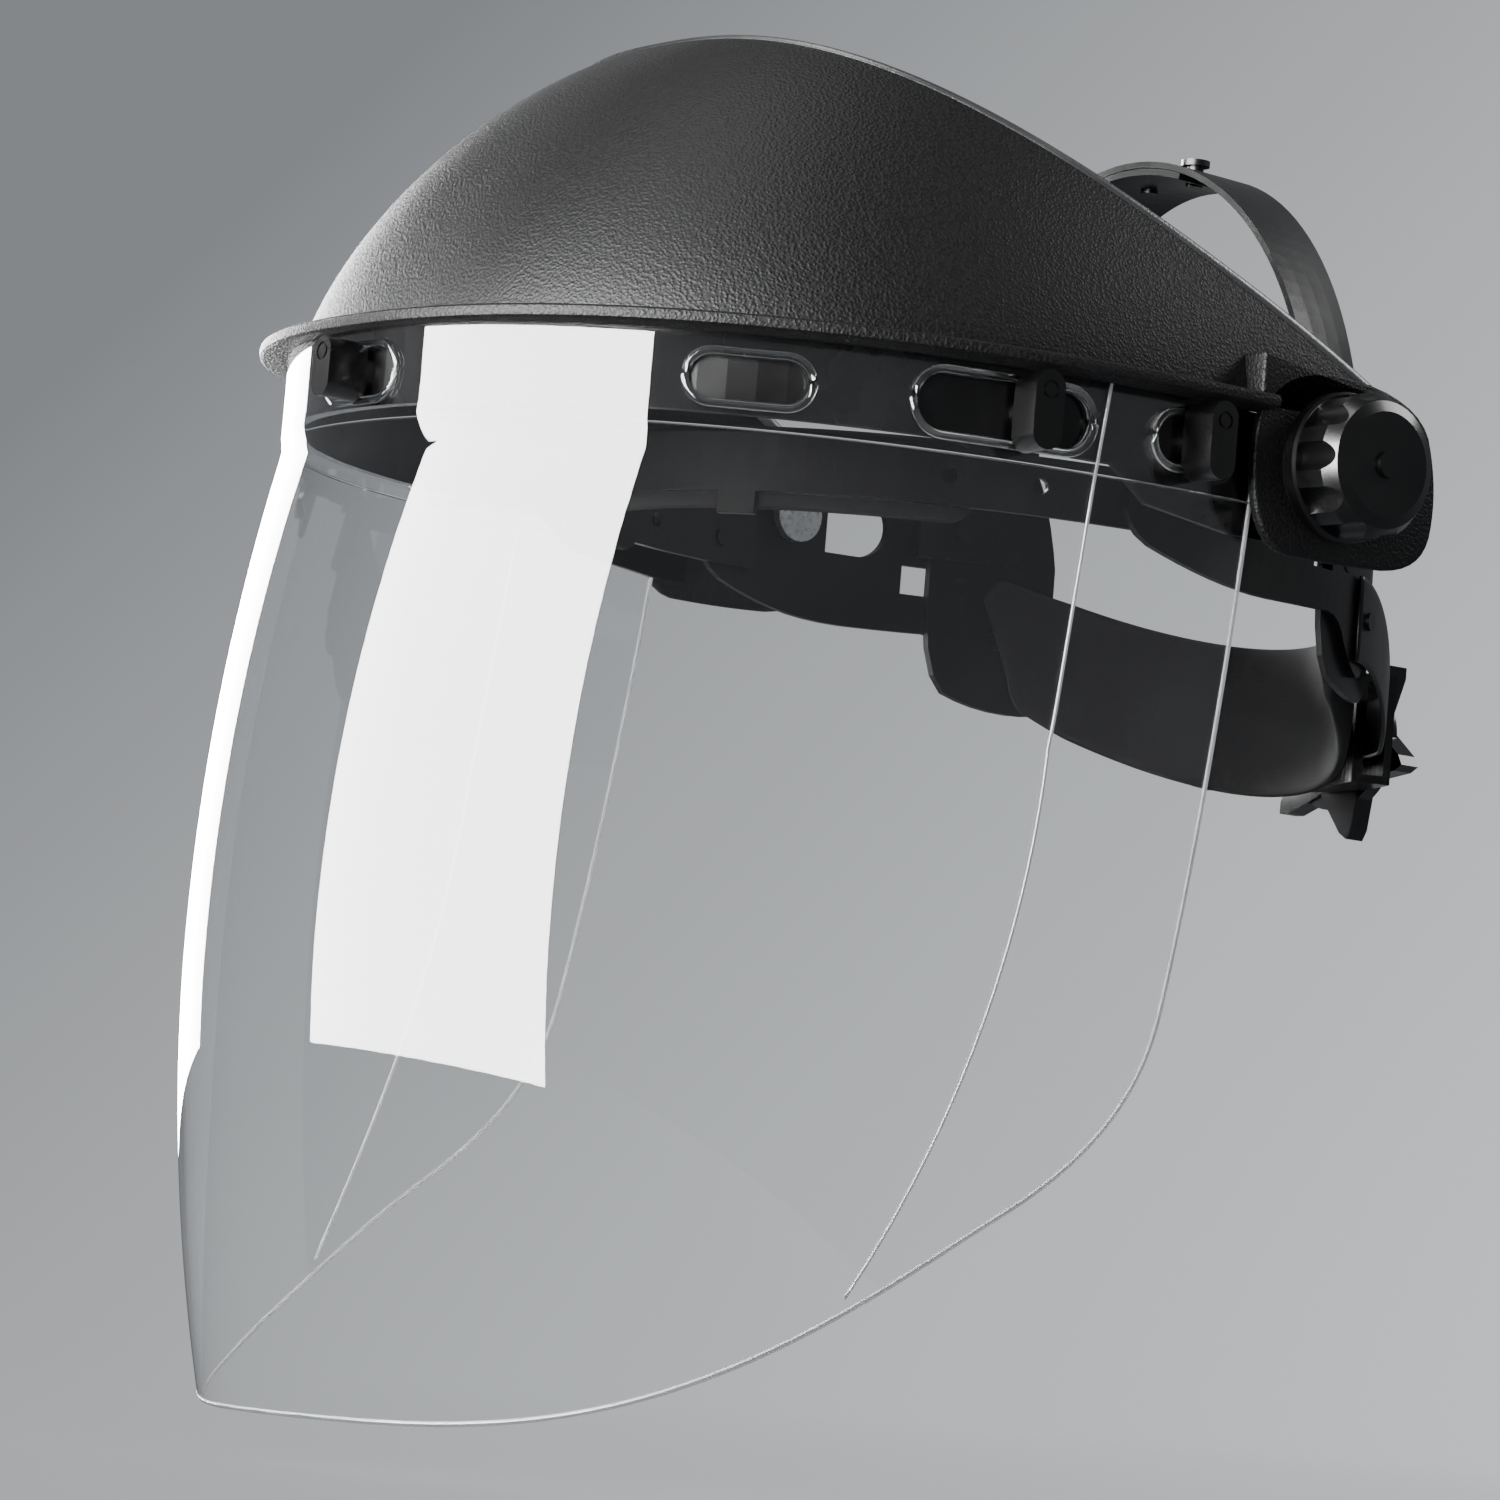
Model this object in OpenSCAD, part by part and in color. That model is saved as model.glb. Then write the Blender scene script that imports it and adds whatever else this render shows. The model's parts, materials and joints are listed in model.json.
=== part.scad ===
// Face shield: crown with a clear window, tilting on a ratchet headgear.
// Origin: middle of the tilt axis. +X wearer's left, -Y front, +Z up.

/* [Window] */
// Height of the clear window below the rim
window_drop = 222; // [180:1:240]
// Thickness of the clear window
window_t = 1; // [0.8:0.1:1.5]
// Half width of the window at its top
window_half_w = 108; // [107:0.5:110]
// Depth of the window in front of the widest line, at its top
window_depth = 156; // [155:0.5:160]
// How far the window bulges forward below its crease
window_bulge = 14.7; // [5:0.1:20]

/* [Crown] */
// Half width of the dome at the rim
dome_half_w = 107; // [106:0.5:109]
// Depth of the dome in front of the widest line
dome_depth = 146; // [142:0.5:150]
// Height parameter of the dome
dome_h = 89.5; // [80:0.5:100]
// Wall of the dome
dome_wall = 2.5; // [2:0.1:3.5]
// Width of the rim lip beyond the dome
rim_lip = 10; // [6:0.5:12]
// Slope of the dome's rear edge
rear_slope = 0.52; // [0.45:0.01:0.8]
// Height of the rear edge's plane above the tilt axis
rear_edge_z = 30.2; // [26:0.2:36]

/* [Headband] */
// Half width of the head ring
ring_half_w = 78; // [74:0.5:82]
// Half length of the head ring
ring_half_l = 104.5; // [95:0.5:108]
// Thickness of the plastic bands
band_t = 1.8; // [1.4:0.1:2.4]
// Height of the over-head strap above the tilt axis
strap_apex = 85; // [75:1:95]
// Width of the over-head strap
strap_w = 25; // [16:1:28]

/* [Knobs] */
// Diameter of the tilt knobs
knob_d = 33; // [28:1:38]
// Depth of the tilt knobs
knob_depth = 15; // [12:0.5:18]
// Lobes of a tilt knob
knob_lobes = 10; // [6:1:12]
// Tip radius of the ratchet knob
ratchet_r = 25; // [20:1:30]
// Lobes of the ratchet knob
ratchet_lobes = 6; // [5:1:8]
// Radial running clearance of every turning fit
run_fit = 0.05; // [0.02:0.01:0.1]

/* [Hidden] */
$fn = 48;

y_wide = -24;                           // widest line of crown and window
curve_n = 2.2;                          // superellipse power of rim and window
rim_z = 10;                             // underside of the rim lip
rim_t = 3;
crease_z = -10;                         // window turns outward below this
carrier_low = -6.8;
carrier_t = 2.6;
bracket_x0 = 80;
gap = 0.3;                              // air between unfitted pieces
carrier_gap = 0.6;                      // air between window and carrier
carrier_half_w = window_half_w - window_t - carrier_gap;
carrier_depth = window_depth - window_t - carrier_gap;
carrier_back = window_t + carrier_gap + carrier_t;
ear_x0 = 109.4;                         // inner face of the crown's ears
ear_x1 = 112;
bolt_r = 4;
bolt_x0 = 75;                           // bolt head's inner face
washer_x0 = 107.2;
knob_x0 = 115.2;                        // knob's inner face
ring_y = -5;
ratchet_z = -43;
stem_r = 3.5;                           // window latch stem
latch_x = 10;                           // how far a latch stands out

function sgn_pow(v, p) = sign(v) * pow(abs(v), p);
// Superellipse: angle 0 at the front, 90 at the wearer's left.
function se(a, b, t, n = curve_n) =
    [a * sgn_pow(sin(t), 2 / n), y_wide - b * sgn_pow(cos(t), 2 / n)];
// Angle of the superellipse at the given Y.
function se_angle(b, y, n = curve_n) = acos(sgn_pow((y_wide - y) / b, n / 2));
function ring(a, b, t) = [a * sin(t), ring_y - b * cos(t)];
function bez(p, t) = p[0] * pow(1 - t, 3) + 3 * p[1] * t * pow(1 - t, 2)
    + 3 * p[2] * t * t * (1 - t) + p[3] * pow(t, 3);

// Closed outline with its corners cut twice.
function soften(p, times = 2) = times == 0 ? p : soften([for (i = [0:len(p) - 1])
    for (f = [0.25, 0.75]) p[i] + (p[(i + 1) % len(p)] - p[i]) * f], times - 1);

// Closed sheet between two matching grids of points, one for each face.
module sheet(face_a, face_b) {
    p = face_a[0][0];
    facing = cross(face_a[0][1] - p, face_a[1][0] - p) * (p - face_b[0][0]);
    outer = facing < 0 ? face_a : face_b;
    inner = facing < 0 ? face_b : face_a;
    rows = len(outer);
    cols = len(outer[0]);
    n = rows * cols;
    points = concat([for (r = outer) for (p = r) p], [for (r = inner) for (p = r) p]);
    function id(r, c, k = 0) = k * n + r * cols + c;
    quads = concat(
        [for (r = [0:rows - 2]) for (c = [0:cols - 2])
            [id(r, c), id(r, c + 1), id(r + 1, c + 1), id(r + 1, c)]],
        [for (r = [0:rows - 2]) for (c = [0:cols - 2])
            [id(r, c, 1), id(r + 1, c, 1), id(r + 1, c + 1, 1), id(r, c + 1, 1)]],
        [for (c = [0:cols - 2]) for (r = [0, rows - 1])
            r == 0 ? [id(r, c, 1), id(r, c + 1, 1), id(r, c + 1), id(r, c)]
                   : [id(r, c), id(r, c + 1), id(r, c + 1, 1), id(r, c, 1)]],
        [for (r = [0:rows - 2]) for (c = [0, cols - 1])
            c == 0 ? [id(r, c), id(r + 1, c), id(r + 1, c, 1), id(r, c, 1)]
                   : [id(r, c, 1), id(r + 1, c, 1), id(r + 1, c), id(r, c)]]);
    polyhedron(points, [for (q = quads) for (k = [0, 1])
        k == 0 ? [q[0], q[1], q[2]] : [q[0], q[2], q[3]]], convexity = 8);
}

// Flat-topped strip that follows a curve given as outer and inner outlines.
module strip(outer, inner, z0, z1) {
    translate([0, 0, z0]) linear_extrude(z1 - z0)
        polygon(concat(outer, [for (i = [len(inner) - 1:-1:0]) inner[i]]));
}

module se_strip(a, b, t, z0, z1, y_end, steps = 64, n = curve_n) {
    end = se_angle(b, y_end, n);
    strip([for (i = [0:steps]) se(a, b, -end + 2 * end * i / steps, n)],
          [for (i = [0:steps]) se(a - t, b - t, -end + 2 * end * i / steps, n)], z0, z1);
}

module ring_strip(grow, t, z0, z1, t0, t1, steps = 40) {
    function at(g, i) = ring(ring_half_w + g, ring_half_l + g, t0 + (t1 - t0) * i / steps);
    strip([for (i = [0:steps]) at(grow, i)], [for (i = [0:steps]) at(grow - t, i)], z0, z1);
}

// Children, and the same again mirrored to the other side when side is -1.
module on_side(side) {
    mirror([side < 0 ? 1 : 0, 0, 0]) children();
}

// Extruded side-view outline of [y, z] points between two X planes.
module side_plate(points, x0, x1) {
    translate([x0, 0, 0]) rotate([90, 0, 90]) linear_extrude(x1 - x0) polygon(points);
}

module x_cyl(r, x0, x1, y = 0, z = 0) {
    translate([x0, y, z]) rotate([0, 90, 0]) cylinder(r = r, h = x1 - x0);
}

module y_cyl(r, y0, y1, x = 0, z = 0) {
    translate([x, y0, z]) rotate([-90, 0, 0]) cylinder(r = r, h = y1 - y0);
}

/* Window latches */
// Angle on the window's curve at the given Y.
function latch_angle(y) = se_angle(window_depth, max(y, y_wide - window_depth));
// Turn about Z that takes the front's tangent to the curve's tangent.
function normal_of(t) =
    let (d = se(window_half_w, window_depth, t + 0.5) - se(window_half_w, window_depth, t - 0.5))
    atan2(d[1], d[0]);

// Places children with +Y pointing inward, origin on the window's outer face.
module at_curve(t, z) {
    p = se(window_half_w, window_depth, t);
    translate([p[0], p[1], z]) rotate([0, 0, normal_of(t)]) children();
}

latch_z = 0.5;
mid_t = latch_angle(-79);
rear_t = latch_angle(-36);

module latch(t, bar_h, bar_w) {
    color("#101012") at_curve(t, latch_z) {
        difference() {
            hull() for (z = [-1, 1])
                y_cyl(bar_w / 2, -latch_x, -gap, z = z * (bar_h - bar_w) / 2);
            translate([0, -latch_x - 0.1, bar_h / 4]) rotate([-90, 0, 0])
                difference() {
                    cylinder(r = 2, h = 0.5);
                    cylinder(r = 1.4, h = 0.5);
                }
        }
        y_cyl(stem_r, -gap, carrier_back + 1.4);
        y_cyl(stem_r + 1.2, carrier_back + gap, carrier_back + 1.8);
    }
}

/* Window */
outline_a = [[-17, rim_z], [-20, -30], [-27, -85], [-35, -122]];
outline_b = [[-35, -122], [-39, -141], [-52, -155], [-72, -168]];
outline_c = [[-72, -168], [-100, -186], [-140, 1 - window_drop],
             [y_wide - 153.3, -window_drop]];
edge_steps = [13, 8, 20];
function window_edge() = concat(
    [for (i = [0:edge_steps[0] - 1]) bez(outline_a, i / edge_steps[0])],
    [for (i = [0:edge_steps[1] - 1]) bez(outline_b, i / edge_steps[1])],
    [for (i = [0:edge_steps[2]]) bez(outline_c, i / edge_steps[2])]);
function bulge_len(z) = z > -118 ? 108 : 99;
function window_b(z) = z > crease_z ? window_depth
    : window_depth - 1 + window_bulge * (1 - pow((z + 118) / bulge_len(z), 2));
function window_a(z) = window_half_w + 4 * max(0, crease_z - z) / window_drop;

module window_sheet() {
    edge = window_edge();
    cols = 36;
    function row(e, t) = let (b = window_b(e[1]), end = se_angle(b, min(max(e[0],
        y_wide - b * 0.9985), 0)))
        [for (c = [0:cols]) let (p = se(window_a(e[1]) - t, b - t,
            -end + 2 * end * c / cols)) [p[0], p[1], e[1]]];
    sheet([for (e = edge) row(e, 0)], [for (e = edge) row(e, window_t)]);
}

// Stadium slot cut through a wall that lies across Y, centred on the origin.
module slot_cut(len, high) {
    r = high / 2;
    for (s = [-1, 1]) y_cyl(r, -6, 6, x = s * (len / 2 - r));
    translate([-(len / 2 - r), -6, -r]) cube([len - 2 * r, 12, high]);
}

// Slots as angle on the curve, length and height.
centre_slot = [0, 24, 10];
front_slot = [latch_angle(-136), 25, 9];
mid_slot = [latch_angle(-84), 41, 12];
rear_slot = [rear_t, 20, 10];

module window() {
    color([0.85, 0.88, 0.9, 0.35]) difference() {
        window_sheet();
        at_curve(0, latch_z) slot_cut(centre_slot[1], centre_slot[2]);
        for (side = [-1, 1]) for (s = [front_slot, mid_slot, rear_slot])
            at_curve(side * s[0], latch_z) slot_cut(s[1], s[2]);
    }
}

/* Crown */
// Point of the dome at angle t and plan scale k, for one wall offset.
function dome_pt(t, k, off) =
    let (p = se(dome_half_w - off, dome_depth - off, t, dome_n),
         g = max(0, 1 - pow(k, dome_n)))
    [p[0] * k, y_wide + (p[1] - y_wide) * k,
     rim_z + rim_t - 0.6 + (dome_h - off) * pow(g, 1 / dome_m)];
dome_m = 1.385;
dome_n = 2.6;
function edge_gap(p) = rear_edge_z - rear_slope * p[1] - p[2];
// Smallest plan scale that still lies below the rear edge's plane.
function dome_cut(t, lo = 0, hi = 1, i = 0) = i == 18 ? hi
    : edge_gap(dome_pt(t, (lo + hi) / 2, 0)) > 0 ? dome_cut(t, lo, (lo + hi) / 2, i + 1)
    : dome_cut(t, (lo + hi) / 2, hi, i + 1);

module dome() {
    cols = 56;
    rows = 16;
    end = se_angle(dome_depth, 24, dome_n);
    function k_at(t, r) = let (c = dome_cut(t)) 1 - (1 - c) * pow(r / rows, 2);
    function grid(off) = [for (r = [0:rows]) [for (c = [0:cols])
        let (t = -end + 2 * end * c / cols) dome_pt(t, k_at(t, r), off)]];
    sheet(grid(0), grid(dome_wall));
}

ear = soften([[-22, rim_z + 12], [-22, -20], [4, -20.5], [30, -19], [33, 0], [26, 20]]);
ear_root = [[-21, rim_z], [24, rim_z + 1], [22, 18], [-21, 24]];

module crown_shell() {
    color("#202124") difference() {
        union() {
            dome();
            se_strip(dome_half_w + rim_lip, dome_depth + rim_lip + 3.5,
                rim_lip + dome_wall + 3.5, rim_z, rim_z + rim_t, -20, n = 2.3);
            for (side = [-1, 1]) on_side(side) {
                side_plate(ear, ear_x0, ear_x1);
                side_plate(ear_root, dome_half_w - dome_wall, ear_x1);
                x_cyl(14, ear_x1 - 1, knob_x0 - 0.4);
            }
        }
        for (side = [-1, 1]) on_side(side)
            x_cyl(bolt_r + run_fit, ear_x0 - 1, knob_x0 + 1);
    }
}

module window_carrier() {
    color("#0c0c0e") difference() {
        union() {
            se_strip(carrier_half_w, carrier_depth, carrier_t, carrier_low, rim_z, -12);
            for (side = [-1, 1]) on_side(side)
                side_plate([[-58, carrier_low + 1], [-46, -14], [-22, -17], [-12, -17],
                    [-12, carrier_low + 1]], carrier_half_w - 3, carrier_half_w - 1.6);
        }
        for (t = [-rear_t, -mid_t, 0, mid_t, rear_t]) at_curve(t, latch_z)
            y_cyl(stem_r + run_fit, -1, 12);
    }
}

/* Tilt pivots */
module friction_washer() {
    color("#b9b6ad") difference() {
        x_cyl(9.5, washer_x0, ear_x0);
        x_cyl(bolt_r + run_fit, washer_x0 - 1, ear_x0 + 1);
    }
}

module pivot_knob() {
    r = knob_d / 2;
    color("#0c0c0e") difference() {
        union() {
            translate([knob_x0, 0, 0]) rotate([0, 90, 0]) rotate_extrude()
                polygon([[0, 0], [r, 0], [r, 2.5], [r - 0.6, 3], [r - 0.6, knob_depth - 4],
                         [r - 2.6, knob_depth - 1], [r - 5, knob_depth], [0, knob_depth]]);
            x_cyl(3, knob_x0 + knob_depth - 1, knob_x0 + knob_depth + 1);
        }
        for (i = [0:knob_lobes - 1]) rotate([i * 360 / knob_lobes, 0, 0])
            x_cyl(4, knob_x0 + 3.2, knob_x0 + knob_depth + 2, y = r + 1.6);
        x_cyl(6, knob_x0 - 1, knob_x0 + 9);
    }
}

module knob_insert() {
    color("#b08d3c") difference() {
        x_cyl(6, knob_x0, knob_x0 + 9);
        x_cyl(bolt_r + run_fit, knob_x0 - 1, knob_x0 + 10);
    }
}

module pivot_bolt() {
    color("#8f9296") {
        x_cyl(bolt_r, bolt_x0 + 2, knob_x0 + 8);
        x_cyl(6.5, bolt_x0, bolt_x0 + 2.4);
    }
}

module pivot_bracket() {
    color("#141416") difference() {
        union() {
            side_plate([[-11, -12], [9, -12], [9, 10], [-11, 10]], bracket_x0, bracket_x0 + 2.5);
            x_cyl(9, bracket_x0 + 2, washer_x0 - 0.1);
            for (a = [0:60:300]) rotate([a, 0, 0])
                side_plate([[-0.8, 0], [0.8, 0], [0.8, 10.5], [-0.8, 10.5]],
                    bracket_x0 + 2, bracket_x0 + 12);
        }
        x_cyl(bolt_r + 0.02, bracket_x0 - 1, washer_x0 + 1);
    }
}

/* Headband */
// Places children with +Y pointing inward at angle t on the head ring.
module at_ring(t, z, grow = 0) {
    p = ring(ring_half_w + grow, ring_half_l + grow, t);
    translate([p[0], p[1], z])
        rotate([0, 0, atan2(ring_half_l * sin(t), ring_half_w * cos(t))]) children();
}

// Part of a wall around the head ring, cut to a side-view outline.
module ring_panel(outline, grow, t0, t1) {
    intersection() {
        ring_strip(grow, band_t, -60, 60, t0, t1, 24);
        side_plate(outline, 30, 100);
    }
}

rivet_r = 2.2;
rear_rivets = [[119, 2], [119, -12], [125, -24]];
front_rivets = [[80, -8.5]];

module rivet_holes(list) {
    for (r = list) at_ring(r[0], r[1]) y_cyl(rivet_r + 0.1, -9, 9);
}

module brow_band() {
    color("#111113") difference() {
        union() {
            ring_strip(0, band_t, -15, -2, -86, 86);
            for (t = [-24, 24]) ring_strip(0, band_t, -20, -15, t - 3, t + 3, 4);
        }
        for (t = [-66, -54, 54, 66]) at_ring(t, -8.5) y_cyl(1.8, -5, 5);
        for (side = [-1, 1]) on_side(side) rivet_holes(front_rivets);
    }
}

module sweatband() {
    color("#2a2a2c") ring_strip(-band_t - gap, 5, -19, 0.5, -58, 58);
}

frame_outline = soften([[-28, -2], [-28, -16], [-10, -22], [8, -25], [30, -24.5], [43, -24],
    [49, -34], [58, -39], [60, -20], [58, 6], [52, 15], [43, 14], [40, 2], [36, 9], [26, 14],
    [-10, 13], [-19, -1]]);

module side_frame() {
    color("#121214") difference() {
        ring_panel(frame_outline, band_t + 0.05, 76, 127);
        x_cyl(7.5, 50, 100, y = 19);
        translate([50, 10, -7.5]) cube([50, 9, 15]);
        translate([50, 31, -15]) cube([50, 8, 7]);
        x_cyl(bolt_r + 0.02, 50, 100);
        rivet_holes(rear_rivets);
        rivet_holes(front_rivets);
    }
}

plate_outline = soften([[37, -36], [52, -42], [67, -42], [66, -10], [62, 14], [56, 26],
    [43, 26], [37, 12]]);

module rear_plate() {
    color("#1a1a1c") difference() {
        ring_panel(plate_outline, 0, 112, 133);
        rivet_holes(rear_rivets);
    }
}

module frame_rivets() {
    color("#2b2b2e") for (side = [-1, 1]) on_side(side) {
        for (r = rear_rivets) at_ring(r[0], r[1])
            y_cyl(rivet_r, r[1] < -20 ? -2.1 - nape_layer : -2.1, r[1] > 0 ? 4.4 : 2.2);
        at_ring(rear_rivets[0][0], rear_rivets[0][1]) y_cyl(3.2, 4, 4.8);
        for (r = front_rivets) at_ring(r[0], r[1]) y_cyl(rivet_r, -2.6, 2.4);
    }
}

/* Over-head strap */
function ring_x(y, g) = (ring_half_w + g)
    * sqrt(1 - pow((y - ring_y) / (ring_half_l + g), 2));
strap_y = 45;

// Strap half over the head: from the rear plate to past the middle.
module overhead_strap(drop) {
    rows = 36;
    t = 1.5;
    function grid(off) = [for (r = [0:rows]) [for (c = [0:4])
        let (a = -4 + 108 * r / rows, y = strap_y + strap_w * (c / 4 - 0.5))
        [ring_x(y, -2.1 - off) * cos(a), y, (strap_apex - drop - off) * sin(a)]]];
    color("#161618") difference() {
        sheet(grid(0), grid(t));
        for (x = [-8, 8]) translate([x, strap_y, 70]) cylinder(r = 2.02, h = 30);
        rivet_holes([rear_rivets[0]]);
    }
}

module strap_pegs() {
    color("#232325") for (x = [-8, 8]) translate([x, strap_y, strap_apex - 4.6]) {
        cylinder(r = 2, h = 6);
        translate([0, 0, 5]) cylinder(r = 3.4, h = 1.4);
    }
}

/* Nape ratchet */
nape_layer = 2.2;
pad_t0 = 124;
function ease(k) = k * k * (3 - 2 * k);
function strap_mid(t) = -24 + (ratchet_z + 24) * ease(min(1, (t - 122) / 32));
function strap_half(t) = 10 - 3 * min(1, (t - 122) / 32);

module nape_strap(layer) {
    rows = 40;
    t = 1.2;
    function grid(off) = [for (r = [0:rows]) let (a = 122 + 72 * r / rows)
        [for (k = [-1, 1]) let (p = ring(ring_half_w + layer - off, ring_half_l + layer - off, a))
            [p[0], p[1], strap_mid(a) + k * strap_half(a)]]];
    color("#161618") difference() {
        sheet(grid(0), grid(t));
        at_ring(175, ratchet_z) translate([-17, -12, -4.9 * 1.35]) cube([34, 24, 13.2]);
        rivet_holes([rear_rivets[2]]);
    }
}

pad_thick = 4;
function pad_top(t) = -23 + 12 * pow((180 - t) / 50, 2);
function pad_low(t) = -59 + 20 * pow((180 - t) / 56, 2);

module nape_pad() {
    cols = 48;
    function grid(off) = [for (r = [0:6]) [for (c = [0:cols])
        let (t = pad_t0 + (360 - 2 * pad_t0) * c / cols, s = min(t, 360 - t),
             g = -2.4 - off - 2.5 * pow(r / 3 - 1, 2) * 0.4,
             p = ring(ring_half_w + g, ring_half_l + g, t))
        [p[0], p[1], pad_top(s) + (pad_low(s) - pad_top(s)) * r / 6]]];
    color("#161618") sheet(grid(0), grid(pad_thick));
}

pinion_r = 6;
housing_t = 22;                         // half angle of the housing around the ring
module housing_wall(grow, t, z0, z1) {
    ring_strip(grow, t, z0, z1, 180 - housing_t, 180 + housing_t, 24);
}

module housing_base() {
    color("#131315") difference() {
        union() {
            housing_wall(0.9, 2.6, ratchet_z - 13, ratchet_z + 13);
            housing_wall(6, 5.2, ratchet_z - 13, ratchet_z - 11);
            housing_wall(6, 5.2, ratchet_z + 11, ratchet_z + 13);
        }
        y_cyl(3 + run_fit, 98.6, 110, z = ratchet_z);
    }
}

module housing_cover() {
    color("#0e0e10") difference() {
        union() {
            housing_wall(8, 1.9, ratchet_z - 13, ratchet_z + 13);
            y_cyl(11, 106.5, 108.6, z = ratchet_z);
        }
        y_cyl(5 + run_fit, 100, 112, z = ratchet_z);
    }
}

module pawl_spring() {
    color("#9a9da0") translate([0, 0, ratchet_z]) difference() {
        y_cyl(6.6, 104.85, 105.1);
        y_cyl(5.5, 104, 106);
        translate([-10, 104, -2]) cube([10, 2, 4]);
    }
}

module pinion() {
    color("#c9c4b4") translate([0, 0, ratchet_z]) difference() {
        union() {
            for (i = [0:11]) rotate([0, 30 * i, 0]) translate([-0.8, 101.3, 0])
                cube([1.6, 3.5, pinion_r]);
            y_cyl(pinion_r - 1.6, 101.3, 104.8);
            y_cyl(3, 98.8, 102);
            y_cyl(5, 104.8, 109.2);
        }
        y_cyl(1.6, 103, 112);
    }
}

module ratchet_knob() {
    color("#0e0e10") translate([0, 0, ratchet_z]) difference() {
        union() {
            y_cyl(13, 109.2, 117);
            for (i = [0:ratchet_lobes - 1]) rotate([0, i * 360 / ratchet_lobes + 15, 0])
                translate([0, 110.4, 0]) rotate([-90, 0, 0]) linear_extrude(5.5)
                polygon([[8, -8], [14, -6], [ratchet_r - 2, -2], [ratchet_r, 0],
                         [ratchet_r - 2, 2], [14, 6], [8, 8]]);
            y_cyl(17, 110.8, 115);
        }
        y_cyl(1.6, 100, 120);
        y_cyl(4, 115.5, 118);
    }
}

module knob_screw() {
    color("#a5a8ab") translate([0, 0, ratchet_z]) {
        y_cyl(1.6, 103.5, 116);
        difference() {
            y_cyl(3.4, 115.5, 117.2);
            for (a = [0, 90]) rotate([0, a, 0]) translate([-2.2, 116.4, -0.4])
                cube([4.4, 2, 0.8]);
        }
    }
}

crown_shell();
window_carrier();
window();
latch(0, 13, 6.4);  // latch_centre
latch(mid_t, 17, 7);  // latch_mid_left
latch(-mid_t, 17, 7);  // latch_mid_right
latch(rear_t, 17, 7);  // latch_rear_left
latch(-rear_t, 17, 7);  // latch_rear_right
friction_washer();  // friction_washer_left
on_side(-1) friction_washer();  // friction_washer_right
pivot_knob();  // pivot_knob_left
on_side(-1) pivot_knob();  // pivot_knob_right
knob_insert();  // knob_insert_left
on_side(-1) knob_insert();  // knob_insert_right
pivot_bolt();  // pivot_bolt_left
on_side(-1) pivot_bolt();  // pivot_bolt_right
pivot_bracket();  // pivot_bracket_left
on_side(-1) pivot_bracket();  // pivot_bracket_right
brow_band();
sweatband();
side_frame();  // side_frame_left
on_side(-1) side_frame();  // side_frame_right
rear_plate();  // rear_plate_left
on_side(-1) rear_plate();  // rear_plate_right
frame_rivets();
overhead_strap(0);  // overhead_strap_left
on_side(-1) overhead_strap(1.7);  // overhead_strap_right
strap_pegs();
nape_strap(3.4);  // nape_strap_left
on_side(-1) nape_strap(5);  // nape_strap_right
nape_pad();
housing_base();
housing_cover();
pawl_spring();
pinion();
ratchet_knob();
knob_screw();
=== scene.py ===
import json
import math

import bmesh
import bpy
from mathutils import Matrix, Vector


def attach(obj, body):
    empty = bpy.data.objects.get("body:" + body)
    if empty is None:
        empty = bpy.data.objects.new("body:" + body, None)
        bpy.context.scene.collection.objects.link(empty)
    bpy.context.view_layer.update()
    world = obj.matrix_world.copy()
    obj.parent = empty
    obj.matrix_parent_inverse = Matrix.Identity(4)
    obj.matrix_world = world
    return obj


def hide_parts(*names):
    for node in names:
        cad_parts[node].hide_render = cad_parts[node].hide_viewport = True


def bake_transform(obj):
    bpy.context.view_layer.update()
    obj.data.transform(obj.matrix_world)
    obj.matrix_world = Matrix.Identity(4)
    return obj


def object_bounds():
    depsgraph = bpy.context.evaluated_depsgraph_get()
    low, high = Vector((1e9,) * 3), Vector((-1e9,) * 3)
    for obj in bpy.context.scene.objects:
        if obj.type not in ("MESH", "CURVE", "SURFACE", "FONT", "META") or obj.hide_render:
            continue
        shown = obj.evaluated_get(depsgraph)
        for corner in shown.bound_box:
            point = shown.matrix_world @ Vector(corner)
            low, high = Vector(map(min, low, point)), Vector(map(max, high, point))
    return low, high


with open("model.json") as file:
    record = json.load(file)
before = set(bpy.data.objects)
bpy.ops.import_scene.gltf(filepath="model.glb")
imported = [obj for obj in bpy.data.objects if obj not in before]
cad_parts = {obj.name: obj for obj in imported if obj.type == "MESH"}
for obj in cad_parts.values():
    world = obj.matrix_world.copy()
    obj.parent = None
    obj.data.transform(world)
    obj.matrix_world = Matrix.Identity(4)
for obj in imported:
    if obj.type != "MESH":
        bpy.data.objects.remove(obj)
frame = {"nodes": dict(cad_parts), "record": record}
cad_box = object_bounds()

MM = 0.001
Y_WIDE = -24                 # widest line of crown and window, mm
RING_Y = -5
RING_W, RING_L = 78, 104.5   # half axes of the head ring
WINDOW_W, WINDOW_D = 108, 156
WINDOW_T = 1.0
CREASE_Z = -10
WINDOW_TOP = 10
WINDOW_DROP = 222
BULGE = 14.7
DOME_W, DOME_D, DOME_H = 107, 146, 89.5
DOME_M, DOME_N = 1.385, 2.6
DOME_WALL = 2.5
RIM_Z, RIM_T = 10, 3
REAR_SLOPE, REAR_EDGE_Z = 0.52, 30.2
LATCH_Z = 0.5
RIM_W, RIM_D, RIM_N = 117, 159.5, 2.3   # outer edge of the rim lip
RIM_END_Y = -20
EAR_X0, EAR_X1 = 109.4, 112             # faces of the ears that carry the tilt knobs
EAR_ROOT_X0 = 104.6
BOSS_R = 14
STRAP_FROM, STRAP_SPAN = 122, 72        # degrees round the head ring
BROW_END = 57.5
NAPE_START = 124.5
VIEW_AZIMUTH = 52.7                     # the backdrop faces this way, degrees
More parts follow.
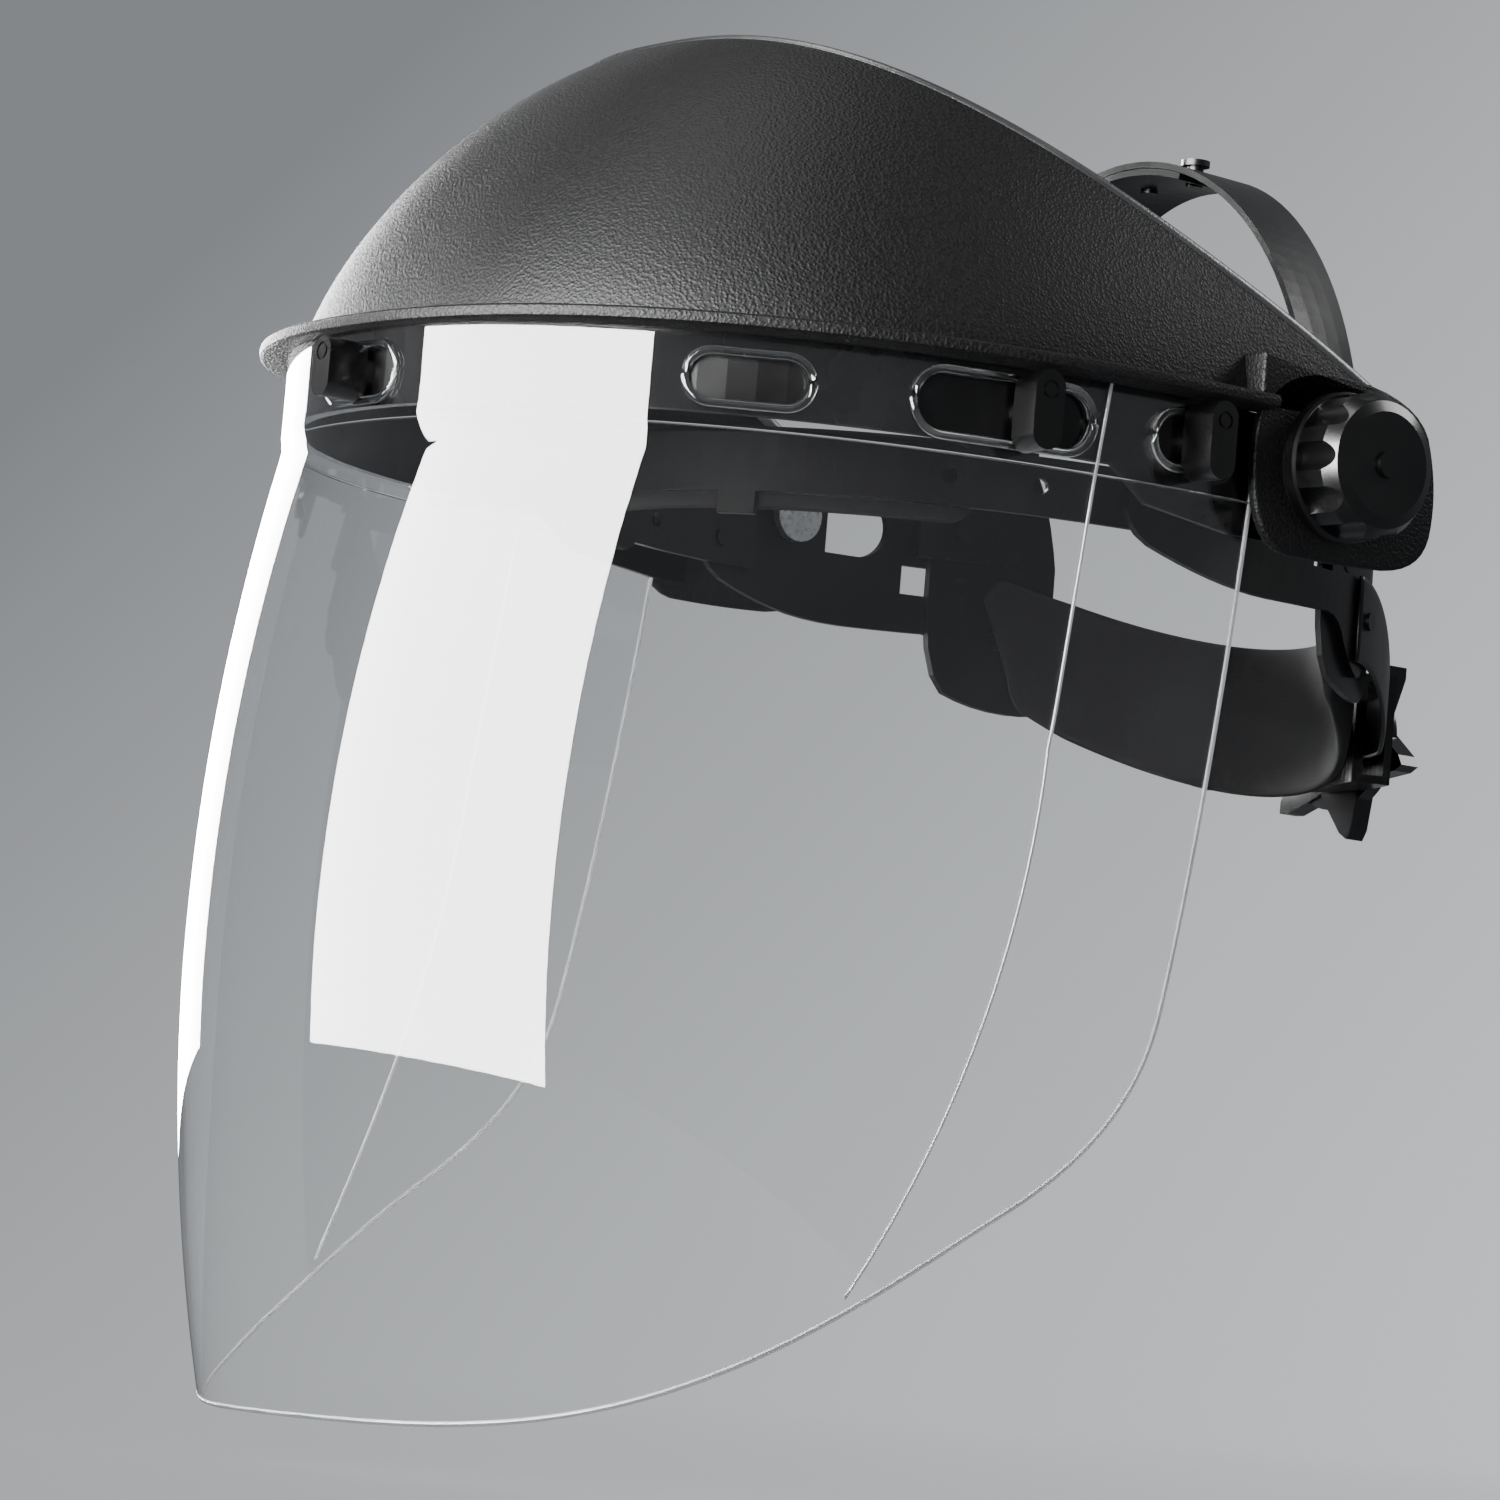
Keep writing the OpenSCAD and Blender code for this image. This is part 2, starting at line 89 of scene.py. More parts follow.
FLOOR_GAP = 0.012                       # metres below the lowest point


# ---------------------------------------------------------------- curves

def signed_pow(v, p):
    return math.copysign(abs(v) ** p, v)


def superellipse(a, b, t, n=2.2):
    """Point at angle t in degrees, 0 at the front and 90 at the wearer's left."""
    s, c = math.sin(math.radians(t)), math.cos(math.radians(t))
    return a * signed_pow(s, 2 / n), Y_WIDE - b * signed_pow(c, 2 / n)


def angle_at(b, y, n=2.2):
    return math.degrees(math.acos(max(-1, min(1, signed_pow((Y_WIDE - y) / b, n / 2)))))


def ring_point(t, grow):
    a = math.radians(t)
    return (RING_W + grow) * math.sin(a), RING_Y - (RING_L + grow) * math.cos(a)


def bezier(p, t):
    u = 1 - t
    return [p[0][i] * u ** 3 + 3 * p[1][i] * t * u * u + 3 * p[2][i] * t * t * u
            + p[3][i] * t ** 3 for i in (0, 1)]


# ---------------------------------------------------------------- meshes

def new_object(name, verts, faces, smooth=True):
    mesh = bpy.data.meshes.new(name)
    mesh.from_pydata([[c * MM for c in v] for v in verts], [], faces)
    mesh.validate()
    ob = bpy.data.objects.new(name, mesh)
    bpy.context.scene.collection.objects.link(ob)
    fix_normals(ob)
    for p in mesh.polygons:
        p.use_smooth = smooth
    return ob


def fix_normals(ob):
    bm = bmesh.new()
    bm.from_mesh(ob.data)
    bmesh.ops.remove_doubles(bm, verts=bm.verts, dist=1e-6)
    bmesh.ops.recalc_face_normals(bm, faces=bm.faces)
    bm.to_mesh(ob.data)
    bm.free()


def loft(name, rings, closed=False):
    """Skin over rings of points, each ring a closed section. Ends are capped unless closed."""
    n, m = len(rings), len(rings[0])
    verts = [p for r in rings for p in r]
    faces = []
    for i in range(n if closed else n - 1):
        k = (i + 1) % n
        for j in range(m):
            nxt = (j + 1) % m
            faces.append((i * m + j, i * m + nxt, k * m + nxt, k * m + j))
    if not closed:
        faces += [tuple(range(m)), tuple((n - 1) * m + j for j in reversed(range(m)))]
    return new_object(name, verts, faces)


def shell(name, outer, inner):
    """Closed wall between two matching grids of points."""
    rows, cols = len(outer), len(outer[0])
    n = rows * cols
    verts = [p for r in outer for p in r] + [p for r in inner for p in r]

    def at(r, c, face=0):
        return face * n + r * cols + c

    faces = []
    for r in range(rows - 1):
        for c in range(cols - 1):
            faces.append((at(r, c), at(r, c + 1), at(r + 1, c + 1), at(r + 1, c)))
            faces.append((at(r, c, 1), at(r + 1, c, 1), at(r + 1, c + 1, 1), at(r, c + 1, 1)))
    for c in range(cols - 1):
        for r in (0, rows - 1):
            faces.append((at(r, c), at(r, c + 1), at(r, c + 1, 1), at(r, c, 1)))
    for r in range(rows - 1):
        for c in (0, cols - 1):
            faces.append((at(r, c), at(r + 1, c), at(r + 1, c, 1), at(r, c, 1)))
    return new_object(name, verts, faces)


def tube(name, path, radius, sides=8, closed=False):
    """Round bead along a path of points in mm."""
    pts = [Vector(p) for p in path]
    rings = []
    for i, p in enumerate(pts):
        a = pts[i - 1] if i or closed else pts[0]
        b = pts[(i + 1) % len(pts)] if i < len(pts) - 1 or closed else pts[-1]
        d = (b - a).normalized()
        side = d.cross(Vector((0, 0, 1)))
        side = side.normalized() if side.length > 1e-3 else Vector((1, 0, 0))
        up = side.cross(d)
        rings.append([p + radius * (math.cos(k) * side + math.sin(k) * up)
                      for k in (2 * math.pi * s / sides for s in range(sides))])
    return loft(name, rings, closed)


def prism(name, outline, x0, x1):
    """Extruded side-view outline of (y, z) points between two X planes."""
    n = len(outline)
    verts = [(x0, y, z) for y, z in outline] + [(x1, y, z) for y, z in outline]
    faces = [tuple(range(n)), tuple(range(2 * n - 1, n - 1, -1))]
    faces += [(i, (i + 1) % n, (i + 1) % n + n, i + n) for i in range(n)]
    return new_object(name, verts, faces, smooth=False)


def join(name, parts):
    with bpy.context.temp_override(active_object=parts[0], selected_editable_objects=parts):
        bpy.ops.object.join()
    parts[0].name = name
    return parts[0]


def bake(ob):
    """Applies every modifier to the mesh."""
    graph = bpy.context.evaluated_depsgraph_get()
    mesh = bpy.data.meshes.new_from_object(ob.evaluated_get(graph))
    ob.modifiers.clear()
    ob.data = mesh


def bevel(ob, width, segments=2, angle=35):
    m = ob.modifiers.new("bevel", "BEVEL")
    m.width, m.segments = width * MM, segments
    m.limit_method, m.angle_limit = "ANGLE", math.radians(angle)
    m.harden_normals = False


def smooth_by_angle(ob, angle=32):
    for p in ob.data.polygons:
        p.use_smooth = True
    ob.data.set_sharp_from_angle(angle=math.radians(angle))


# ---------------------------------------------------------------- materials

def material(name, color, rough, **sockets):
    m = bpy.data.materials.new(name)
    m.use_nodes = True
    bsdf = m.node_tree.nodes["Principled BSDF"]
    bsdf.inputs["Base Color"].default_value = (*color, 1)
    bsdf.inputs["Roughness"].default_value = rough
    for key, value in sockets.items():
        bsdf.inputs[key.replace("_", " ")].default_value = value
    return m, m.node_tree, bsdf


def node(tree, kind, **values):
    n = tree.nodes.new(kind)
    for key, value in values.items():
        if key in n.inputs:
            n.inputs[key].default_value = value
        else:
            setattr(n, key, value)
    return n


def noise(tree, coord, scale, detail=3.0, rough=0.5):
    n = node(tree, "ShaderNodeTexNoise", Scale=scale, Detail=detail, Roughness=rough)
    tree.links.new(coord.outputs["Object"], n.inputs["Vector"])
    return n


def remap(tree, source, low, high, a=0.0, b=1.0):
    n = node(tree, "ShaderNodeMapRange")
    for key, value in (("From Min", a), ("From Max", b), ("To Min", low), ("To Max", high)):
        n.inputs[key].default_value = value
    tree.links.new(source, n.inputs["Value"])
    return n.outputs["Result"]


def tint(tree, bsdf, source, dark, light):
    mix = node(tree, "ShaderNodeMix", data_type="RGBA")
    mix.inputs["A"].default_value = (*dark, 1)
    mix.inputs["B"].default_value = (*light, 1)
    tree.links.new(source, mix.inputs["Factor"])
    tree.links.new(mix.outputs["Result"], bsdf.inputs["Base Color"])


def bump(tree, bsdf, height, strength, distance):
    n = node(tree, "ShaderNodeBump", Strength=strength, Distance=distance)
    tree.links.new(height, n.inputs["Height"])
    tree.links.new(n.outputs["Normal"], bsdf.inputs["Normal"])


def crown_grain():
    """Leather-grained black thermoplastic: small raised pebbles over a slow waviness."""
    m, t, b = material("crown_grain", (0.006, 0.006, 0.007), 0.5, Specular_IOR_Level=0.11)
    coord = node(t, "ShaderNodeTexCoord")
    warp = noise(t, coord, 1000, 2)
    add = node(t, "ShaderNodeVectorMath", operation="MULTIPLY_ADD")
    add.inputs[1].default_value = (0.0005,) * 3
    t.links.new(warp.outputs["Color"], add.inputs[0])
    t.links.new(coord.outputs["Object"], add.inputs[2])
    cells = node(t, "ShaderNodeTexVoronoi", Scale=1500.0, feature="SMOOTH_F1")
    t.links.new(add.outputs["Vector"], cells.inputs["Vector"])
    height = remap(t, cells.outputs["Distance"], 1.0, 0.0, 0.05, 0.65)
    bump(t, b, height, 0.5, 0.00025)
    t.links.new(remap(t, cells.outputs["Distance"], 0.42, 0.6, 0.1, 0.6), b.inputs["Roughness"])
    slow = noise(t, coord, 30, 3)
    tint(t, b, slow.outputs["Fac"], (0.005, 0.005, 0.006), (0.009, 0.009, 0.010))
    return m


def moulded(name, dark, light, rough, grain, coat=0.0, specular=0.5):
    """Moulded plastic with slight flow marks, faint colour change and fine grain."""
    m, t, b = material(name, dark, rough, Coat_Weight=coat, Coat_Roughness=0.08,
                       Specular_IOR_Level=specular)
    coord = node(t, "ShaderNodeTexCoord")
    slow = noise(t, coord, 22, 4, 0.6)
    fine = noise(t, coord, 1500, 2)
    tint(t, b, slow.outputs["Fac"], dark, light)
    t.links.new(remap(t, slow.outputs["Fac"], rough * 0.75, rough * 1.3, 0.3, 0.7),
                b.inputs["Roughness"])
    bump(t, b, fine.outputs["Fac"], grain, 0.0001)
    return m


def clear_plastic():
    """Clear polycarbonate sheet with very slight moulding waves."""
    m, t, b = material("clear_window", (0.985, 0.99, 0.992), 0.0, IOR=1.5,
                       Transmission_Weight=1.0)
    coord = node(t, "ShaderNodeTexCoord")
    slow = noise(t, coord, 9, 1)
    bump(t, b, slow.outputs["Fac"], 0.02, 0.0004)
    t.links.new(remap(t, slow.outputs["Fac"], 0.0, 0.012, 0.3, 0.7), b.inputs["Roughness"])
    return m


def bright_edge():
    """Cut edge of the clear sheet, which gathers light and reads as white."""
    m, t, b = material("bright_edge", (0.9, 0.91, 0.92), 0.25, Transmission_Weight=0.15)
    coord = node(t, "ShaderNodeTexCoord")
    along = noise(t, coord, 60, 3)
    tint(t, b, along.outputs["Fac"], (0.62, 0.64, 0.66), (1.0, 1.0, 1.0))
    return m


def soft_pad():
    """Matt black pad skin with a very fine square texture."""
    m, t, b = material("pad_cloth", (0.01, 0.01, 0.0105), 0.8, Specular_IOR_Level=0.15)
    coord = node(t, "ShaderNodeTexCoord")
    waves = []
    for direction in ("X", "Z"):
        w = node(t, "ShaderNodeTexWave", Scale=260.0, Distortion=0.6, bands_direction=direction)
        t.links.new(coord.outputs["Object"], w.inputs["Vector"])
        waves.append(w)
    add = node(t, "ShaderNodeMath", operation="ADD")
    for i, w in enumerate(waves):
        t.links.new(w.outputs["Fac"], add.inputs[i])
    bump(t, b, add.outputs["Value"], 0.05, 0.0001)
    slow = noise(t, coord, 40, 3)
    tint(t, b, slow.outputs["Fac"], (0.006, 0.006, 0.0065), (0.012, 0.012, 0.0125))
    t.links.new(remap(t, slow.outputs["Fac"], 0.7, 0.95, 0.3, 0.7), b.inputs["Roughness"])
    return m


def metal(name, dark, light, rough):
    """Turned or plated metal with fine marks."""
    m, t, b = material(name, dark, rough, Metallic=1.0)
    coord = node(t, "ShaderNodeTexCoord")
    fine = noise(t, coord, 900, 4, 0.7)
    tint(t, b, fine.outputs["Fac"], dark, light)
    t.links.new(remap(t, fine.outputs["Fac"], rough * 0.7, rough * 1.5, 0.3, 0.7),
                b.inputs["Roughness"])
    bump(t, b, fine.outputs["Fac"], 0.1, 0.0001)
    return m


GRAIN = crown_grain()
GLOSS = moulded("gloss_black", (0.002, 0.002, 0.0025), (0.004, 0.004, 0.0045), 0.24, 0.02, 0.08,
                specular=0.35)
STRAP = moulded("strap_black", (0.004, 0.004, 0.0045), (0.008, 0.008, 0.0085), 0.34, 0.06,
                specular=0.25)
# Rear bead material: its lighter grey base colour is a painted highlight for the bright line of
# light along the crown's rear edge.
PAINTED_HIGHLIGHT_EDGE = moulded("crown_edge", (0.03, 0.03, 0.032), (0.16, 0.16, 0.165), 0.3, 0.8,
                    specular=0.8)
NYLON = moulded("nylon", (0.62, 0.60, 0.54), (0.72, 0.70, 0.64), 0.4, 0.1)
CLEAR = clear_plastic()
EDGE = bright_edge()
CLOTH = soft_pad()
STEEL = metal("steel", (0.45, 0.46, 0.47), (0.62, 0.63, 0.64), 0.28)
BRASS = metal("brass", (0.62, 0.45, 0.18), (0.80, 0.62, 0.30), 0.25)
SLOT_MATERIALS = {"crown_grain": GRAIN, "gloss_black": GLOSS, "clear_window": CLEAR,
                  "nylon": NYLON, "brass": BRASS, "steel": STEEL, "strap_black": STRAP,
                  "pad_black": CLOTH}


def finish_piece(ob, body, mat, slot_name, *stands_for):
    ob.data.materials.clear()
    ob.data.materials.append(mat)
    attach(ob, body)
    if stands_for:
        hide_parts(*stands_for)
    return ob


def dress_cad_nodes():
    """Every CAD node gets its slot's material and soft edges."""
    slots = {s["node"]: s["material_slot"] for s in frame["record"]["subparts"]}
    for name, ob in frame["nodes"].items():
        mat = SLOT_MATERIALS[slots[name]]
        ob.data.materials.clear()
        ob.data.materials.append(mat)
        m = ob.modifiers.new("soft_edges", "BEVEL")
        m.width, m.segments = 0.35 * MM, 2
        m.limit_method, m.angle_limit = "ANGLE", math.radians(40)
        m.use_clamp_overlap = True


# ---------------------------------------------------------------- crown

def dome_point(t, k, off):
    x, y = superellipse(DOME_W - off, DOME_D - off, t, DOME_N)
    g = max(0.0, 1 - k ** DOME_N) ** (1 / DOME_M)
    return x * k, Y_WIDE + (y - Y_WIDE) * k, RIM_Z + RIM_T - 0.6 + (DOME_H - off) * g


def dome_cut(t):
    """Smallest plan scale that lies below the plane of the crown's rear edge."""
    lo, hi = 0.0, 1.0
    for _ in range(24):
        mid = (lo + hi) / 2
        p = dome_point(t, mid, 0)
        if REAR_EDGE_Z - REAR_SLOPE * p[1] - p[2] > 0:
            hi = mid
        else:
            lo = mid
    return hi


def crown():
    """Grained dome with its rear bead in a lighter grey as a painted highlight, rim lip, ears and
    pivot bosses.
    """
    cols, rows, lip_steps = 180, 48, 160
    end = angle_at(DOME_D, 24, DOME_N)
    angles = [-end + 2 * end * c / cols for c in range(cols + 1)]
    cuts = [dome_cut(t) for t in angles]
    def grid(off):
        return [[dome_point(t, 1 - (1 - cut) * (r / rows) ** 2, off)
                 for t, cut in zip(angles, cuts)] for r in range(rows + 1)]
    parts = [shell("dome", grid(0), grid(DOME_WALL))]
    edge = [dome_point(t, cut, DOME_WALL / 2) for t, cut in zip(angles, cuts)]
    # The rear bead carries the painted-highlight edge material.
    finish_piece(tube("crown_rear_bead", edge, 1.75, 12), "crown", PAINTED_HIGHLIGHT_EDGE, "crown_grain")
    lip = [(-14, 0), (-0.9, 0), (-0.2, 0.5), (0, 1.5), (-0.2, 2.5), (-0.9, 3), (-14, 3)]
    stop = angle_at(RIM_D, RIM_END_Y, RIM_N)
    rings = []
    for i in range(lip_steps + 1):
        t = -stop + 2 * stop * i / lip_steps
        rings.append([(*superellipse(RIM_W + u, RIM_D + u, t, RIM_N), RIM_Z + v)
                      for u, v in lip])
    parts.append(loft("rim_lip", rings))
    for side in (1, -1):
        outline = soften([(-22, 22), (-22, -20), (4, -20.5), (30, -19), (33, 0), (26, 20)], 3)
        plate = prism("ear", outline, side * EAR_X0, side * EAR_X1)
        root = prism("ear_root", [(-21, 10.2), (24, 11), (22, 17.5), (-21, 23)],
                     side * EAR_ROOT_X0, side * EAR_X1)
        for p in (plate, root):
            bevel(p, 0.8, 3)
            bake(p)
            smooth_by_angle(p)
        boss = tube("boss", [(side * x, 0, 0) for x in (111, 114.2, 114.8)], BOSS_R, 48)
        parts += [plate, root, boss]
    ob = join("crown_skin", parts)
    ob.data.set_sharp_from_angle(angle=math.radians(40))
    finish_piece(ob, "crown", GRAIN, "crown_grain", "crown_shell")


# ---------------------------------------------------------------- window

def window_a(z):
    return WINDOW_W + 4 * max(0.0, CREASE_Z - z) / WINDOW_DROP


def window_b(z):
    if z > CREASE_Z:
        return WINDOW_D
    reach = 108 if z > -118 else 99
    return WINDOW_D - 1 + BULGE * (1 - ((z + 118) / reach) ** 2)


OUTLINE = [[(-17, WINDOW_TOP), (-20, -30), (-27, -85), (-35, -122)],
           [(-35, -122), (-39, -141), (-52, -155), (-72, -168)],
           [(-72, -168), (-100, -186), (-140, 1 - WINDOW_DROP), (Y_WIDE - 153.3, -WINDOW_DROP)]]


def window_edge(steps=(40, 24, 60)):
    pts = []
    for curve, n in zip(OUTLINE, steps):
        pts += [bezier(curve, i / n) for i in range(n)]
    return pts + [bezier(OUTLINE[-1], 1.0)]


def window_point(z, t, off=0.0):
    return (*superellipse(window_a(z) - off, window_b(z) - off, t), z)


def edge_angle(y, z):
    b = window_b(z)
    return angle_at(b, min(max(y, Y_WIDE - b * 0.9985), 0))


def at_curve(t):
    """Matrix at angle t on the window, +Y pointing inward."""
    p = superellipse(WINDOW_W, WINDOW_D, t)
    a = superellipse(WINDOW_W, WINDOW_D, t + 0.5)
    b = superellipse(WINDOW_W, WINDOW_D, t - 0.5)
    turn = math.atan2(a[1] - b[1], a[0] - b[0])
    return Matrix.Translation((p[0], p[1], LATCH_Z)) @ Matrix.Rotation(turn, 4, "Z")


def soften(points, times=2):
    """Closed outline with its corners cut."""
    for _ in range(times):
        points = [tuple(p + (q - p) * f for p, q in zip(points[i], points[(i + 1) % len(points)]))
                  for i in range(len(points)) for f in (0.25, 0.75)]
    return points


def stadium(length, high, n=16):
    r = high / 2
    pts = []
    for s, start in ((1, -90), (-1, 90)):
        for i in range(n + 1):
            a = math.radians(start + 180 * i / n)
            pts.append((s * (length / 2 - r) + r * math.cos(a), r * math.sin(a)))
    return pts


REAR_T = angle_at(WINDOW_D, -36)
SLOTS = [(0, 24, 10)] + [(s * t, l, h) for s in (1, -1) for t, l, h in (
    (angle_at(WINDOW_D, -136), 25, 9), (angle_at(WINDOW_D, -84), 41, 12), (REAR_T, 20, 10))]


def slot_point(t, x, z, out):
    """Point beside a slot that follows the window's curve, out from its outer face."""
    m = at_curve(t)
    p = m @ Vector((x, 0, 0))
    angle = math.degrees(math.atan2(abs(p.x) ** 1.1 * (1 if p.x > 0 else -1) / WINDOW_W ** 1.1,
                                    signed_pow((Y_WIDE - p.y) / WINDOW_D, 1.1)))
    q = superellipse(WINDOW_W + out, WINDOW_D + out, angle)
    return q[0], q[1], LATCH_Z + z


def window():
    """Clear curved sheet with its seven slots cut through."""
    cols = 150
    def grid(off):
        rows = []
        for y, z in window_edge():
            end = edge_angle(y, z)
            rows.append([window_point(z, -end + 2 * end * c / cols, off)
                         for c in range(cols + 1)])
        return rows
    sheet = shell("clear_window", grid(0), grid(WINDOW_T))
    for t, length, high in SLOTS:
        pts = stadium(length, high)
        m = at_curve(t)
        rings = [[m @ Vector((x, y, z)) for x, z in pts] for y in (-4, 5)]
        cutter = loft("cutter", rings)
        mod = sheet.modifiers.new("slot", "BOOLEAN")
        mod.operation, mod.solver, mod.object = "DIFFERENCE", "EXACT", cutter
        bake(sheet)
        bpy.data.objects.remove(cutter)
    sheet.data.set_sharp_from_angle(angle=math.radians(40))
    finish_piece(sheet, "crown", CLEAR, "clear_window", "window")


def window_trim():
    """Bright cut edges, fold lines and raised slot rims of the clear sheet."""
    half = [window_point(z, edge_angle(y, z), WINDOW_T / 2) for y, z in window_edge()]
    loop = half + [(-x, y, z) for x, y, z in reversed(half)]
    finish_piece(tube("window_cut_edge", loop, 0.62, 8), "crown", EDGE, "clear_window")
    for side in (1, -1):
        fold = []
        for i in range(61):
            k = i / 60
            z = WINDOW_TOP + k * (-188.5 - WINDOW_TOP)
            y = -59 - 9.5 * min(1, k * 2.5) - 37.5 * max(0, k - 0.35) ** 1.9 / 0.65 ** 1.9
            fold.append(window_point(z, side * angle_at(window_b(z), y), 0.1))
        name = "window_fold_" + ("left" if side > 0 else "right")
        finish_piece(tube(name, fold, 0.42, 8), "crown", EDGE, "clear_window")
    end = edge_angle(-19, CREASE_Z)
    crease = [window_point(CREASE_Z, -end + 2 * end * i / 120, 0.1) for i in range(121)]
    finish_piece(tube("window_crease", crease, 0.3, 8), "crown", CLEAR, "clear_window")
    rims = []
    for t, length, high in SLOTS:
        path = [slot_point(t, x, z, 0.1) for x, z in stadium(length + 2.2, high + 2.2)]
        rims.append(tube("rim", path, 0.9, 8, closed=True))
    finish_piece(join("window_slot_rims", rims), "crown", CLEAR, "clear_window")


# ---------------------------------------------------------------- soft and flexible pieces

def pad_section(thick, high, n=28, power=3.2):
    """Rounded, crowned section as (depth, height) pairs round a closed loop."""
    pts = []
    for i in range(n):
        a = 2 * math.pi * i / n
        pts.append((thick / 2 * signed_pow(math.cos(a), 2 / power),
                    high / 2 * signed_pow(math.sin(a), 2 / power)))
    return pts


def sweatband():
    """Brow pad round the front of the head ring, with rounded ends and slight puffs."""
    section = pad_section(4.6, 18.4)
    rings = []
    for i in range(121):
        t = -BROW_END + 2 * BROW_END * i / 120
        ends = min(1, (BROW_END - abs(t)) / 3) ** 0.5 * 0.35 + 0.65
        puff = 1 + 0.05 * math.cos(math.radians(t * 22))
        rings.append([])
        for d, h in section:
            p = ring_point(t, -4.4 + d * ends * (puff if d < 0 else 1))
            rings[-1].append((p[0], p[1], -9.2 + h * ends))
    pad = finish_piece(loft("brow_pad", rings), "headband", CLOTH, "pad_black", "sweatband")


def pad_top(t):
    return -23 + 12 * ((180 - t) / 50) ** 2


def pad_low(t):
    return -59 + 20 * ((180 - t) / 56) ** 2


def nape_pad():
    """Nape cushion that follows the ring between headband and housing."""
    rings = []
    section = pad_section(3.8, 1.0, 40, 3.6)
    for i in range(141):
        t = NAPE_START + (360 - 2 * NAPE_START) * i / 140
        s = min(t, 360 - t)
        top, low = pad_top(s), pad_low(s)
        ends = 0.6 + 0.4 * min(1, (s - NAPE_START) / 2.5) ** 0.5
        ring = []
        for d, h in section:
            lean = -2.2 * (0.5 - h) * 0.5
            slant = -4.5 * h * max(0, 1 - (s - NAPE_START) / 12) * (1 if t < 180 else -1)
            p = ring_point(t + slant, -5.6 + d * ends + lean)
            ring.append((p[0], p[1], (top + low) / 2 + h * (top - low) * ends))
        rings.append(ring)
    pad = loft("nape_cushion", rings)
    pad.data.materials.append(CLOTH)
    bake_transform(pad)
    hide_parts("nape_pad")


def ease(k):
    return k * k * (3 - 2 * k)


def nape_strap(name, side, layer, node_name):
    """Strap half that drops from the rear plate to the ratchet housing."""
    rings = []
    section = pad_section(1.2, 1.0, 16, 5)
    for i in range(121):
        t = STRAP_FROM + STRAP_SPAN * i / 120
        k = min(1, (t - STRAP_FROM) / 32)
        mid = -24 - 19 * ease(k)
        half = 10 - 3 * k
        ring = []
        for d, h in section:
            p = ring_point(t, layer - 0.6 + d)
            ring.append((side * p[0], p[1], mid + 2 * h * half))
        rings.append(ring)
    strap = loft(name, rings)
    strap.data.materials.append(STRAP)
    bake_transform(strap)
    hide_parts(node_name)


# ---------------------------------------------------------------- studio

def area_light(name, place, aim, size, power):
    light = bpy.data.lights.new(name, "AREA")
    light.shape, light.size, light.size_y, light.energy = "RECTANGLE", size[0], size[1], power
    ob = bpy.data.objects.new(name, light)
    bpy.context.scene.collection.objects.link(ob)
    ob.location = place
    ob.rotation_mode = "QUATERNION"
    ob.rotation_quaternion = (Vector(aim) - Vector(place)).to_track_quat("-Z", "Y")
    ob.visible_camera = ob.visible_diffuse = ob.visible_transmission = False
    return ob


